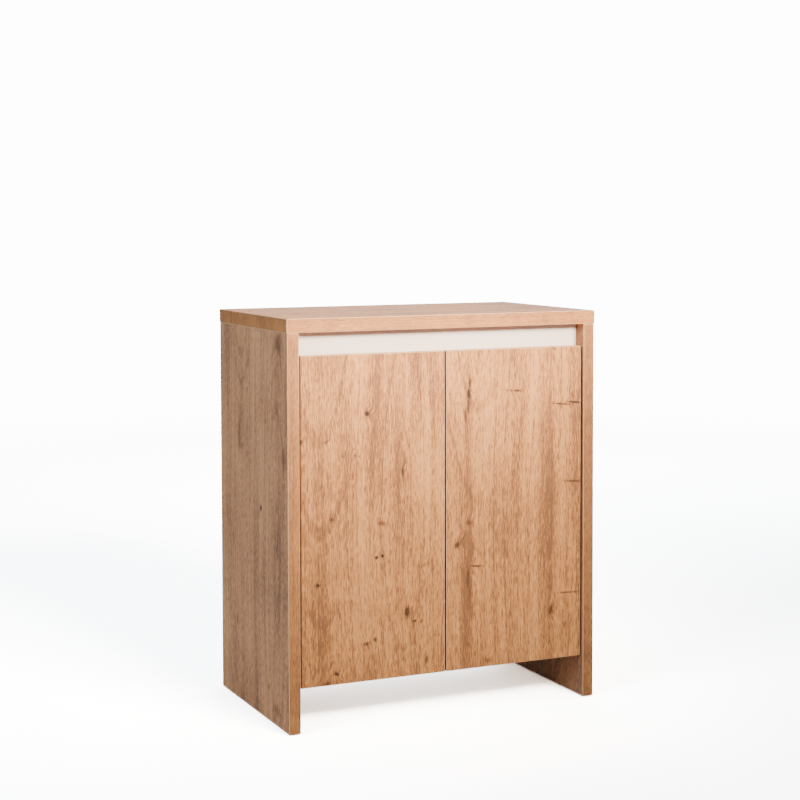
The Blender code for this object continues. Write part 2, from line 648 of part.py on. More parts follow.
def hinges(steel):
    for hand, side in SIDES.items():
        for level_name, level in HINGE_LEVELS.items():
            name = f"{hand}_{level_name}_hinge"
            hinge_plate(side, level, f"{name}_plate", steel)
            hinge_arm(side, level, f"{name}_arm", steel)
            hinge_cup(side, level, f"{name}_cup", steel)
            hinge_link(side, level, f"{name}_outer_link", OUTER_LINK,
                       LINK_SPLIT, LINK_SPLIT + LINK_WIDTH, steel)
            hinge_link(side, level, f"{name}_inner_link", INNER_LINK,
                       -LINK_SPLIT - LINK_WIDTH, -LINK_SPLIT, steel)


# ---------------------------------------------------------------- the cabinet
def build():
    for old in list(bpy.data.objects):
        bpy.data.objects.remove(old, do_unlink=True)
    oak = material("oak decor", (0.43, 0.25, 0.14), 0.55)
    light_board = material("light grey decor", (0.76, 0.73, 0.68), 0.5)
    steel = material("nickel-plated steel", (0.62, 0.60, 0.57), 0.28, 1.0)
    zinc = material("die-cast zinc", (0.55, 0.56, 0.58), 0.42, 1.0)
    beech = material("beech", (0.66, 0.47, 0.28), 0.6)
    plastic = material("black plastic", (0.02, 0.02, 0.02), 0.5)
    rubber = material("clear bumper", (0.72, 0.72, 0.70), 0.35)

    for hand, side in SIDES.items():
        side_panel(side, hand, oak)
    top_panel(oak)
    bottom_panel(light_board)
    back_panel(light_board)
    rail("front_rail", RAIL_FRONT, light_board, DOWEL_LINES["front"])
    rail("rear_rail", INNER_BACK - BOARD_THICKNESS, light_board, DOWEL_LINES["rear"])
    shelf(light_board)
    for hand, side in SIDES.items():
        for line_name, line in PIN_LINES.items():
            shelf_pin(side, f"shelf_pin_{line_name}_{hand}", line, steel)
        door(side, f"{hand}_door", oak)
    hinges(steel)
    fittings(zinc, steel, beech)
    bumpers(rubber)
    glides(plastic)


build()
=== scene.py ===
"""Finishes, screws and studio stage of the aquarium stand cabinet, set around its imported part.

Run as a script: every operator is called in order. All sizes are in metres, in the part's own frame:
X to the cabinet's right, Y to its back, Z up from the floor.
"""

import math

import bpy
from bpy.props import FloatProperty, FloatVectorProperty, IntProperty, PointerProperty
from mathutils import Matrix, Vector


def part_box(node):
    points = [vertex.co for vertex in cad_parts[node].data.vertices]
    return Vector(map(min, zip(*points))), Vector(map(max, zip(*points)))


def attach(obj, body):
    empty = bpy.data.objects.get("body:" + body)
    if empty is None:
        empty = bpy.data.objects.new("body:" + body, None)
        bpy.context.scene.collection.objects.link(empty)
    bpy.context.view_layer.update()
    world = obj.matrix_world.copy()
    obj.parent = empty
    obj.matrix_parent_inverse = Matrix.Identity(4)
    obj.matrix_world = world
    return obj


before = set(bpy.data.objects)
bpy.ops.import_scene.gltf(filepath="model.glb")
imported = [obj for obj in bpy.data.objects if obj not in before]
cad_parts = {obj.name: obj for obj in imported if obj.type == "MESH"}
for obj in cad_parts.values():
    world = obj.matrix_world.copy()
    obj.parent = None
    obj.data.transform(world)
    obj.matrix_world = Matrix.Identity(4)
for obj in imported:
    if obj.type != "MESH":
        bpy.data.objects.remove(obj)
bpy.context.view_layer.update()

bl_info = {
    "name": "Aquarium Stand Cabinet",
    "version": (1, 0, 0),
    "blender": (4, 5, 0),
    "location": "3D View > Sidebar > Cabinet",
    "description": "Finishes, screws and studio stage of a two-door aquarium stand cabinet",
    "category": "Object",
}

MM = 0.001
HANDS = {"left": -1, "right": 1}
LEVELS = ("upper", "lower")

# Settings of every colour property, and of every property that is a share from 0 to 1.
COLOUR = {"subtype": "COLOR", "size": 3, "min": 0, "max": 1}
SHARE = {"subtype": "FACTOR", "min": 0, "max": 1}


# ---------------------------------------------------------------- wiring of node trees
class Wiring:
    """Adds nodes to one tree. An input is a number, a colour, a vector or another node's output."""

    def __init__(self, tree):
        self.tree = tree

    def give(self, socket, value):
        """Links or sets an input; a colour may leave out its alpha."""
        if isinstance(value, bpy.types.NodeSocket):
            self.tree.links.new(value, socket)
        elif socket.type == "RGBA" and len(value) == 3:
            socket.default_value = (*value, 1.0)
        else:
            socket.default_value = value

    def add(self, kind, inputs=None, output=0, **settings):
        """Adds a node, gives it its inputs and settings, and gives back one of its outputs."""
        node = self.tree.nodes.new(kind)
        for key, value in settings.items():
            setattr(node, key, value)
        for key, value in (inputs or {}).items():
            self.give(node.inputs[key], value)
        return node.outputs[output]

    def math(self, operation, *values, clamp=False):
        return self.add("ShaderNodeMath", dict(enumerate(values)), operation=operation, use_clamp=clamp)

    def total(self, *values):
        """Adds up any number of values."""
        summed = values[0]
        for value in values[1:]:
            summed = self.math("ADD", summed, value)
        return summed

    def about_zero(self, value, spread):
        """Turns a 0 to 1 value into one that lies evenly to each side of zero, spread wide in all."""
        return self.math("MULTIPLY_ADD", value, spread, -spread / 2)

    def vector(self, operation, *values, output=0):
        return self.add("ShaderNodeVectorMath", dict(enumerate(values)), output, operation=operation)

    def split(self, vector):
        node = self.tree.nodes.new("ShaderNodeSeparateXYZ")
        self.give(node.inputs[0], vector)
        return tuple(node.outputs)

    def joined(self, x=0.0, y=0.0, z=0.0):
        return self.add("ShaderNodeCombineXYZ", {0: x, 1: y, 2: z})

    def step(self, value, start, end, low=0.0, high=1.0):
        """Rises smoothly from low to high while the value goes from start to end."""
        ends = {"From Min": start, "From Max": end, "To Min": low, "To Max": high}
        return self.add("ShaderNodeMapRange", {"Value": value, **ends}, interpolation_type="SMOOTHSTEP")

    def noise(self, place, across, along=None, detail=2.0, roughness=0.5, output=0):
        """Noise with so many features per metre across the grain and along it, or the same all ways."""
        scale = (across, across, across if along is None else along)
        return self.add("ShaderNodeTexNoise", {"Vector": self.vector("MULTIPLY", place, scale), "Scale": 1.0,
                                               "Detail": detail, "Roughness": roughness}, output)

    def blend(self, share, first, second, how="MIX"):
        """The first colour, with a share of the second one over it."""
        node = self.tree.nodes.new("ShaderNodeMix")
        node.data_type, node.blend_type = "RGBA", how
        for index, value in ((0, share), (6, first), (7, second)):
            self.give(node.inputs[index], value)
        return node.outputs[2]


def new_group(name, kind, inputs, outputs):
    """A node group with named sockets; gives back its tree, its inputs by name and its output node."""
    tree = bpy.data.node_groups.new(name, kind)
    for side, sockets in (("INPUT", inputs), ("OUTPUT", outputs)):
        for label, form in sockets:
            tree.interface.new_socket(label, in_out=side, socket_type="NodeSocket" + form)
    given = tree.nodes.new("NodeGroupInput")
    return tree, given.outputs, tree.nodes.new("NodeGroupOutput")


def shared(name, make):
    """The node group of that name, made the first time that it is asked for."""
    return bpy.data.node_groups.get(name) or make(name)


def grouped(wiring, tree, inputs):
    """Puts a shader node group into a material, and gives back its outputs by name."""
    node = wiring.tree.nodes.new("ShaderNodeGroup")
    node.node_tree = tree
    for key, value in inputs.items():
        wiring.give(node.inputs[key], value)
    return node.outputs


def new_finish(name):
    """A new material; gives back the material, its wiring, its shader and its Object coordinates."""
    material = bpy.data.materials.new(name)
    material.use_nodes = True
    tree = material.node_tree
    tree.nodes.clear()
    shader = tree.nodes.new("ShaderNodeBsdfPrincipled")
    end = tree.nodes.new("ShaderNodeOutputMaterial")
    tree.links.new(shader.outputs[0], end.inputs["Surface"])
    place = tree.nodes.new("ShaderNodeTexCoord").outputs["Object"]
    return material, Wiring(tree), shader, place


def surface(wiring, shader, colour, rough, height, depth, strength):
    """Gives the shader its colour, its roughness and its relief, which is depth metres deep."""
    wiring.give(shader.inputs["Base Color"], colour)
    wiring.give(shader.inputs["Roughness"], rough)
    bump = wiring.add("ShaderNodeBump", {"Height": height, "Distance": depth, "Strength": strength})
    wiring.give(shader.inputs["Normal"], bump)


def paint(material, *nodes):
    """Gives CAD nodes their finish without touching their meshes."""
    for node in nodes:
        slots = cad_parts[node].material_slots
        if not slots:
            raise RuntimeError(f"{node} has no material slot to fill")
        for slot in slots:
            slot.material = material


# ---------------------------------------------------------------- oak decor
BAND_CALM = 0.55                  # share of the figure that an edge band doesn't show
BAND_DARKER = 0.13                # how much darker in tone an edge band is
RING_BLEND = 0.012                # width in which the rings of two hearts run together
RING_STRETCH = 0.004              # of the rings along the board, against their own width
PORE_SHOW = 0.50                  # how strongly the open pores are coloured
OAK_ROUGHNESS = 0.50
OAK_GLOSS = 0.22
# painted shade: the side panels' inner faces are darkened in their colour, as they stand in shade
SIDE_INNER_PAINTED_SHADE = 0.30           # how much darker the side panels' inner faces are

# Distances from a board's edges: where the painted highlight on the rounded arris fades out, and where the
# line behind the edge band starts and ends, each from faint to full.
ARRIS_FADE = (0.0017, 0.0006)
JOINT_START = (0.0016, 0.0019)
JOINT_END = (0.0027, 0.0021)

# How far out from its middle each effect of a mark starts and is full, in half sizes of the mark.
MARK_FADES = {"Knot": (1.5, 0.45), "Halo": (2.8, 0.6), "Bend": (4.5, 0.6)}
HALO_TONE = -0.30                 # change of tone in the halo of a full knot
RAGGED = (0.0022, 0.0, 0.0016)    # how far the outlines of marks stray across and along the grain
ZONE_SHARE = 0.5                  # taken of a zone's half sizes, because its halo spreads well past them


def oak_group(name):
    """The oak print: bands, growth rings around two hearts, fibres, pores and clouded tone."""
    tree, given, result = new_group(
        name, "ShaderNodeTree",
        [("Place", "Vector"), ("Bend", "Float"), ("Knot", "Float"), ("Shade", "Float"), ("Tone", "Float"),
         ("Light", "Color"), ("Middle", "Color"), ("Dark", "Color"), ("Pore", "Color"),
         ("Knot wood", "Color"), ("Heart 1", "Vector"), ("Heart 2", "Vector"), ("Band", "Float")],
        [("Colour", "Color"), ("Roughness", "Float"), ("Height", "Float")])
    w = Wiring(tree)
    place = given["Place"]
    across, depth, along = w.split(place)
    wander = w.about_zero(w.noise(place, across=4, along=1.1, detail=1.5), spread=0.040)
    ripple = w.about_zero(w.noise(place, across=30, along=6), spread=0.0030)
    bent = w.total(across, wander, ripple, given["Bend"])
    grain = w.joined(bent, depth, along)

    bands = w.noise(grain, across=30, along=0.6, detail=4.0, roughness=0.52)
    streaks = w.noise(grain, across=380, along=5, roughness=0.6)
    fibres = w.noise(grain, across=1000, along=85, roughness=0.6)
    pores = w.noise(place, across=1300, along=110, detail=1.0)
    clouds = w.noise(place, across=8.0, along=4.5, detail=3.0, roughness=0.60)

    rings = []
    for heart in ("Heart 1", "Heart 2"):
        middle, distance, taper = w.split(given[heart])
        sideways = w.math("SUBTRACT", bent, middle)
        inward = w.math("MULTIPLY_ADD", along, taper, distance)
        rings.append(w.vector("LENGTH", w.joined(sideways, inward), output=1))
    radius = w.math("SMOOTH_MIN", rings[0], rings[1], RING_BLEND)
    ring_place = w.joined(radius, 0.0, w.math("MULTIPLY", along, RING_STRETCH))
    late_wood = w.step(w.noise(ring_place, across=210, roughness=0.55), start=0.50, end=0.66)

    # the tone runs from 0, dark, through 0.5, middle, to 1, light
    figure = w.total(w.about_zero(bands, spread=1.45), w.about_zero(streaks, spread=0.95),
                     w.about_zero(fibres, spread=3.1), w.about_zero(clouds, spread=1.3),
                     w.math("MULTIPLY", late_wood, -0.28))
    tone = w.math("MULTIPLY_ADD", figure, w.math("MULTIPLY_ADD", given["Band"], -BAND_CALM, 1.0),
                  w.math("MULTIPLY_ADD", given["Band"], -BAND_DARKER, given["Tone"]))
    tone = w.total(tone, given["Shade"])
    colour = w.blend(w.math("MULTIPLY", tone, 2.0, clamp=True), given["Dark"], given["Middle"])
    colour = w.blend(w.math("MULTIPLY_ADD", tone, 2.0, -1.0, clamp=True), colour, given["Light"])
    open_pore = w.math("MULTIPLY", w.step(pores, start=0.56, end=0.70),
                       w.step(streaks, start=0.62, end=0.42, low=0.25))
    colour = w.blend(w.math("MULTIPLY", open_pore, PORE_SHOW), colour, given["Pore"])
    colour = w.blend(given["Knot"], colour, given["Knot wood"])
    height = w.total(w.math("MULTIPLY", fibres, 0.35), w.math("MULTIPLY", open_pore, -1.0),
                     w.math("MULTIPLY", given["Knot"], -0.6))
    rough = w.total(OAK_ROUGHNESS, w.math("MULTIPLY", open_pore, 0.12), w.about_zero(clouds, spread=0.10))
    for label, value in (("Colour", colour), ("Roughness", rough), ("Height", height)):
        w.give(result.inputs[label], value)
    return tree


def mark_group(name):
    """One mark or zone: how dark its knot and its halo are, and how far it pushes the grain aside."""
    tree, given, result = new_group(
        name, "ShaderNodeTree",
        [("Place", "Vector"), ("Middle", "Vector"), ("Turn", "Float"), ("Reach", "Vector"), ("Dark", "Float"),
         ("Push", "Float")],
        [("Knot", "Float"), ("Halo", "Float"), ("Bend", "Float")])
    w = Wiring(tree)
    away = w.vector("SUBTRACT", given["Place"], given["Middle"])
    across, _, along = w.split(away)
    flat = w.joined(across, 0.0, along)
    turned = w.add("ShaderNodeVectorRotate", {"Vector": flat, "Angle": given["Turn"]}, rotation_type="Y_AXIS")
    far = w.vector("LENGTH", w.vector("DIVIDE", turned, given["Reach"]), output=1)
    for label, strength in (("Knot", "Dark"), ("Halo", "Dark"), ("Bend", "Push")):
        start, end = MARK_FADES[label]
        w.give(result.inputs[label], w.math("MULTIPLY", w.step(far, start, end), given[strength]))
    return tree


def edge_group(name):
    """How near a point is to its board's edges: the rounded arris, where the highlight is painted, and the
    line behind the edge band.
    """
    tree, given, result = new_group(
        name, "ShaderNodeTree",
        [("Place", "Vector"), ("Middle", "Vector"), ("Half size", "Vector")],
        [("Arris", "Float"), ("Joint", "Float")])
    w = Wiring(tree)
    inside = w.vector("SUBTRACT", given["Half size"],
                      w.vector("ABSOLUTE", w.vector("SUBTRACT", given["Place"], given["Middle"])))
    x, y, z = w.split(inside)
    # the second nearest of the three pairs of faces, because on a face the nearest is the face itself
    lower, upper = w.math("MINIMUM", x, y), w.math("MAXIMUM", x, y)
    near = w.math("MAXIMUM", lower, w.math("MINIMUM", upper, z))
    joint = w.math("MULTIPLY", w.step(near, *JOINT_START), w.step(near, *JOINT_END))
    w.give(result.inputs["Arris"], w.step(near, *ARRIS_FADE))
    w.give(result.inputs["Joint"], joint)
    return tree


def board_edges(w, place, node):
    """The Arris and Joint outputs of the edge group, set to the size of a board."""
    low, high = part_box(node)
    return grouped(w, shared("Board edges", edge_group), {
        "Place": place, "Middle": (low + high) / 2, "Half size": (high - low) / 2})


# Marks in the oak print, listed one by one: across and along the grain (mm), half width and half length
# (mm), turn (degrees), darkness and how far it pushes the grain aside (mm).
DOOR_MARKS = {
    "left": (
        (-154, 558, 4, 5, 20, 0.95, 5), (-280, 514, 3, 4, 0, 0.7, 3), (-232, 512, 7, 2, 25, 0.45, 2),
        (-201, 485, 3, 3, 0, 0.4, 2), (-174, 484, 6, 2, -20, 0.35, 2), (-85, 450, 2, 9, 5, 0.7, 4),
        (-222, 374, 3, 3, 0, 0.7, 3), (-126, 360, 7, 4, -15, 0.55, 5), (-137, 300, 3, 3, 30, 0.95, 3),
        (-125, 302, 3, 3, 0, 0.95, 2), (-249, 260, 3, 3, 0, 0.9, 4), (-44, 279, 6, 3, 35, 0.4, 4),
        (-77, 197, 5, 10, 0, 0.85, 8), (-62, 179, 3, 2, 0, 0.85, 2), (-49, 177, 3, 4, -30, 0.6, 3),
        (-157, 147, 5, 3, 15, 0.7, 4), (-140, 153, 4, 3, -40, 0.7, 2), (-38, 106, 4, 7, -15, 0.55, 5),
        (-214, 99, 5, 3, -25, 0.85, 5), (-231, 84, 8, 3, 10, 0.6, 4)),
    "right": (
        (49, 606, 2, 12, 3, 0.75, 2), (47, 584, 3, 10, 4, 0.90, 5), (46, 562, 2, 12, 0, 0.75, 2),
        (40, 545, 3, 12, 8, 0.55, 2), (147, 586, 5, 2, 0, 0.85, 3),
        (140, 586, 18, 1.6, -4, 0.40, 3), (240, 557, 18, 1.5, -6, 0.75, 3),
        (268, 559, 16, 1.8, -6, 0.85, 1), (262, 574, 8, 2.5, -45, 0.35, 2), (265, 411, 18, 1.8, -5, 0.60, 3),
        (223, 661, 5, 1.5, -30, 0.7, 1), (47, 349, 5, 5, 0, 0.45, 6), (23, 310, 4, 6, -35, 0.75, 5),
        (34, 320, 2, 11, -40, 0.35, 0), (61, 268, 12, 1.4, -6, 0.75, 4), (45, 248, 3, 18, 0, 0.55, 2),
        (50, 212, 3, 20, 4, 0.35, 2), (217, 172, 4, 9, -8, 0.75, 6), (255, 202, 20, 1.3, -2, 0.60, 3),
        (86, 91, 5, 4, 0, 0.5, 4)),
}
SIDE_MARKS = (
    (73, 506, 7, 34, 3, 0.45, 4), (-42, 381, 4, 6, 10, 0.85, 5), (-136, 684, 14, 16, 0, 0.35, 6),
    (-160, 483, 9, 20, 0, 0.40, 4), (-126, 319, 6, 16, -8, 0.35, 6), (-120, 30, 16, 10, 0, 0.40, 4),
    (-78, 62, 5, 6, 0, 0.45, 4), (20, 640, 4, 12, 0, 0.30, 3), (110, 300, 5, 22, 2, 0.25, 3),
    (90, 150, 4, 8, 0, 0.45, 3),
)

# Broad darker and lighter zones of the doors' print, listed one by one: across and along the grain (mm), half
# width and half length (mm), turn (degrees) and change of tone.
DOOR_ZONES = {
    "left": (
        # painted shadow: the first zone of the left door is a dark line along its hinged edge, where the side
        # panel casts shade
        (-281, 372, 2.4, 620, 0, -0.85), (-235, 590, 24, 110, 0, 0.14), (-190, 420, 14, 190, 2, -0.22),
        (-128, 600, 18, 120, 0, -0.16), (-92, 330, 14, 230, 0, -0.28), (-60, 560, 22, 130, 0, 0.12),
        (-250, 200, 26, 100, 0, -0.20), (-150, 300, 20, 170, 0, 0.16), (-40, 130, 22, 90, 0, 0.12),
        (-40, 380, 20, 120, 0, 0.12)),
    "right": (
        (46, 540, 9, 130, 0, -0.42), (44, 260, 12, 190, -2, -0.52), (120, 560, 34, 110, 0, 0.18),
        (100, 470, 16, 150, 0, -0.08), (216, 430, 11, 250, 0, -0.32), (160, 300, 22, 230, 0, 0.22),
        (252, 480, 18, 200, 0, 0.14), (250, 180, 16, 120, 0, -0.08), (90, 120, 26, 70, 0, -0.06)),
}

# How each oak board lies in the print: its across, depth and along directions, the shift of the print (m),
# the two hearts of its growth rings (across, distance below the face, taper along the board) and its tone.
OAK_BOARDS = {
    "left_door": ("XYZ", (0.0, 0.0, 0.0), ((-0.245, 0.150, -0.120), (-0.085, -0.060, 0.145)), 0.52),
    "right_door": ("XYZ", (0.0, 0.4, 0.0), ((0.075, 0.170, -0.110), (0.215, -0.045, 0.130)), 0.52),
    "left_side_panel": ("YXZ", (0.0, 0.9, 0.3), ((0.060, 0.180, -0.110), (-0.120, -0.040, 0.140)), 0.48),
    "right_side_panel": ("YXZ", (0.0, 1.7, 0.6), ((-0.060, 0.190, -0.120), (0.110, -0.050, 0.130)), 0.38),
    "top_panel": ("YZX", (0.0, 2.3, 0.0), ((-0.060, 0.120, -0.150), (0.090, -0.080, 0.120)), 0.48),
}


def marks_and_zones(node):
    """What the print of a board's face shows; the right side panel and the top show neither."""
    hand, kind = node.split("_", 1)
    if kind == "door":
        return DOOR_MARKS[hand], DOOR_ZONES[hand]
    return (SIDE_MARKS if node == "left_side_panel" else ()), ()


def mark_at(w, place, spot, strengths, share=1.0):
    """The outputs of the mark group at a spot, which is its place, half sizes and turn as in the tables."""
    across, along, half_width, half_length, turn = spot
    return grouped(w, shared("Grain mark", mark_group), {
        "Place": place, "Middle": (across * MM, 0.0, along * MM), "Turn": math.radians(turn),
        "Reach": (half_width * MM * share, 1.0, half_length * MM * share), **strengths})


def marked_grain(w, lie, node):
    """All marks and zones of a board's face: its knots, how far the grain is bent and its change of tone."""
    marks, zones = marks_and_zones(node)
    unsettled = w.vector("SUBTRACT", w.noise(lie, across=180, along=120, output=1), (0.5, 0.5, 0.5))
    ragged = w.vector("MULTIPLY_ADD", unsettled, RAGGED, lie)
    knot, bend, shade = 0.0, 0.0, 0.0
    for *spot, dark, push in marks:
        out = mark_at(w, ragged, spot, {"Dark": dark, "Push": push * MM})
        knot = w.math("MAXIMUM", knot, out["Knot"])
        shade = w.math("MULTIPLY_ADD", out["Halo"], HALO_TONE, shade)
        bend = w.math("ADD", bend, out["Bend"])
    for *spot, change in zones:
        out = mark_at(w, lie, spot, {"Dark": change}, ZONE_SHARE)
        shade = w.math("ADD", shade, out["Halo"])
    return knot, bend, shade


def side_face(w, colour, facing_x, hand, band, look):
    """A side panel's colour with painted shade: darker on its inner face, and a little greyer than its edge
    band, as its faces look in shade.
    """
    # painted shade: the inner face, which stands in shade, is blended toward the dark oak colour
    inner = w.step(w.math("MULTIPLY", facing_x, -HANDS[hand]), start=0.5, end=0.9)
    colour = w.blend(w.math("MULTIPLY", inner, SIDE_INNER_PAINTED_SHADE), colour, look.dark)
    # painted shade: every face but the edge bands is made greyer, as the side faces look in cool shade
    strength = w.math("MULTIPLY_ADD", band, look.side_painted_greying, 1.0 - look.side_painted_greying)
    return w.add("ShaderNodeHueSaturation", {"Color": colour, "Saturation": strength})


def oak_finish(node, look):
    """The oak decor of one board, with its own part of the print and its own marks."""
    order, shift, hearts, tone = OAK_BOARDS[node]
    material, w, shader, place = new_finish("Oak decor " + node.replace("_", " "))
    axis = dict(zip("XYZ", w.split(place)))
    facing = dict(zip("XYZ", w.split(w.add("ShaderNodeTexCoord", output="Normal"))))
    lie = w.joined(*(axis[letter] for letter in order))
    through = facing[order[1]]
    knot, bend, shade = marked_grain(w, lie, node)

    # the face that looks along the depth axis, as a door's back does, has another part of the print, a
    # metre away, and no marks
    turned_away = w.step(through, start=0.5, end=0.9)
    in_view = w.math("SUBTRACT", 1.0, turned_away)
    knot, bend, shade = (w.math("MULTIPLY", value, in_view) for value in (knot, bend, shade))
    print_place = w.vector("ADD", w.vector("ADD", lie, shift), w.joined(y=turned_away))
    edge = board_edges(w, place, node)
    band = w.step(w.math("ABSOLUTE", through), start=0.8, end=0.5)
    hearts = [(across, below - taper * shift[2], taper) for across, below, taper in hearts]
    oak = grouped(w, shared("Oak decor", oak_group), {
        "Place": print_place, "Bend": bend, "Knot": knot, "Shade": shade, "Tone": tone,
        "Light": look.light, "Middle": look.middle, "Dark": look.dark, "Pore": look.pore,
        "Knot wood": look.knot, "Heart 1": hearts[0], "Heart 2": hearts[1], "Band": band})

    colour = oak["Colour"]
    hand, kind = node.split("_", 1)
    if kind == "side_panel":
        colour = side_face(w, colour, facing["X"], hand, band, look)
    colour = w.blend(w.math("MULTIPLY", edge["Joint"], look.joint_line), colour, look.pore)
    # painted highlight: a light line along the rounded arrises, left out where the tone is much darker, as in
    # knot halos and the painted shadow line
    highlight_line = w.math("MULTIPLY", edge["Arris"], w.step(shade, start=-0.5, end=-0.15, high=look.arris_painted_highlight))
    colour = w.blend(highlight_line, colour, look.arris)
    if kind == "door":
        # painted shade: the doors' upright edges and their bevels are darkened toward the knot colour, for
        # the shade in the gaps beside them
        upright = w.step(w.math("ABSOLUTE", facing["X"]), start=0.75, end=0.95, high=look.painted_gap_shade)
        colour = w.blend(upright, colour, look.knot)
    shader.inputs["Specular IOR Level"].default_value = OAK_GLOSS
    surface(w, shader, colour, oak["Roughness"], oak["Height"], depth=look.pore_depth, strength=0.55)
    return material


class OakLook(bpy.types.PropertyGroup):
    """Colours and wear of the oak decor boards."""

    light: FloatVectorProperty(name="Light", description="Early wood", default=(0.87, 0.40, 0.135), **COLOUR)
    middle: FloatVectorProperty(name="Middle", description="Main tone of the decor",
                                default=(0.65, 0.260, 0.080), **COLOUR)
    dark: FloatVectorProperty(name="Dark", description="Dark bands", default=(0.29, 0.124, 0.052), **COLOUR)
    pore: FloatVectorProperty(name="Pores", description="Open pores", default=(0.15, 0.060, 0.026), **COLOUR)
    knot: FloatVectorProperty(name="Knots", description="Knots, streaks and cross checks",
                              default=(0.036, 0.020, 0.013), **COLOUR)
    # painted highlight: the colour of the light line along the rounded arrises, and how strongly it shows
    arris: FloatVectorProperty(name="Arris", description="Where an edge band's arris is rounded",
                               default=(0.95, 0.60, 0.34), **COLOUR)
    arris_painted_highlight: FloatProperty(name="Arris painted highlight", description="How strongly the arrises show", default=0.6,
                              **SHARE)
    # painted shade: how dark the doors' upright edges are made, for the shade in the door gaps
    painted_gap_shade: FloatProperty(name="Painted gap shade", description="How dark the doors' upright edges are",
                              default=0.40, **SHARE)
    # painted shade: how much greyer the side panels' faces are made, as they look in shade
    side_painted_greying: FloatProperty(name="Side fade", description="How much greyer the side panels' faces are",
                             default=0.11, **SHARE)
    joint_line: FloatProperty(name="Joint line", description="How far the line behind an edge band shows",
                              default=0.18, **SHARE)
    pore_depth: FloatProperty(name="Pore depth", description="Depth of the embossed pores", unit="LENGTH",
                              min=0, default=0.00025)


class CABINET_OT_oak_boards(bpy.types.Operator):
    """Finish the doors, side panels and top in oak decor"""

    bl_idname = "cabinet.oak_boards"
    bl_label = "Oak boards"

    def execute(self, context):
        for node in OAK_BOARDS:
            paint(oak_finish(node, context.scene.cabinet_oak), node)
        return {"FINISHED"}


# ---------------------------------------------------------------- plain boards
PLAIN_BOARDS = ("bottom_panel", "front_rail", "rear_rail", "shelf")
PLAIN_JOINT = 0.25                # how strongly the line behind their edge bands shows
DECOR_SKIN = (0.0006, 0.0009)     # depth in the back panel at which the decor gives way to raw board
RAW_ROUGHNESS = 0.78


class BoardLook(bpy.types.PropertyGroup):
    """Colours of the plain boards and the back panel."""

    face: FloatVectorProperty(name="Face", description="Light grey decor", default=(0.96, 0.82, 0.69),
                              **COLOUR)
    speck: FloatVectorProperty(name="Speck", description="Faint flecks in the decor",
                               default=(0.80, 0.70, 0.60), **COLOUR)
    fibre: FloatVectorProperty(name="Fibreboard", description="Raw back of the back panel",
                               default=(0.36, 0.22, 0.12), **COLOUR)
    fibre_dark: FloatVectorProperty(name="Dark fibres", description="Darker fibres of the raw back",
                                    default=(0.20, 0.11, 0.06), **COLOUR)
    roughness: FloatProperty(name="Roughness", description="Of the light decor", default=0.42, **SHARE)


def plain_colour(w, place, look):
    """The light decor's flecked colour, and the fine noise behind it for its relief."""
    fine = w.noise(place, across=900, roughness=0.6)
    broad = w.noise(place, across=14)
    share = w.math("MULTIPLY", w.step(fine, start=0.50, end=0.72),
                   w.step(broad, start=0.2, end=0.8, low=0.35, high=0.8))
    return w.blend(share, look.face, look.speck), fine


def plain_finish(node, look):
    """Light decor on all faces of one board."""
    material, w, shader, place = new_finish("Light decor " + node.replace("_", " "))
    colour, fine = plain_colour(w, place, look)
    edge = board_edges(w, place, node)
    colour = w.blend(w.math("MULTIPLY", edge["Joint"], PLAIN_JOINT), colour, look.speck, "MULTIPLY")
    rough = w.total(look.roughness, w.about_zero(fine, spread=0.12))
    surface(w, shader, colour, rough, fine, depth=0.00008, strength=0.5)
    return material


def back_finish(look):
    """Light decor on the back panel's inner face, and raw fibreboard on its edges and outer face."""
    material, w, shader, place = new_finish("Back panel fibreboard")
    light, fine = plain_colour(w, place, look)
    low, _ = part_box("back_panel")
    fibres = w.noise(place, across=700, along=260, detail=3.0, roughness=0.7)
    clouds = w.noise(place, across=22, detail=3.0)
    share = w.math("ADD", w.about_zero(fibres, spread=1.3), w.step(clouds, start=0.2, end=0.8), clamp=True)
    raw = w.blend(share, look.fibre_dark, look.fibre)
    _, depth, _ = w.split(place)
    outer = w.step(depth, *(low.y + skin for skin in DECOR_SKIN))
    colour = w.blend(outer, light, raw)
    rough = w.step(outer, 0.0, 1.0, look.roughness, RAW_ROUGHNESS)
    surface(w, shader, colour, rough, w.math("ADD", fibres, fine), depth=0.00015, strength=0.6)
    return material


class CABINET_OT_plain_boards(bpy.types.Operator):
    """Finish the rails, bottom, shelf and back panel"""

    bl_idname = "cabinet.plain_boards"
    bl_label = "Plain boards"

    def execute(self, context):
        look = context.scene.cabinet_boards
        for node in PLAIN_BOARDS:
            paint(plain_finish(node, look), node)
        paint(back_finish(look), "back_panel")
        return {"FINISHED"}


# ---------------------------------------------------------------- metal and small parts
NICKEL = "Nickel plated steel"


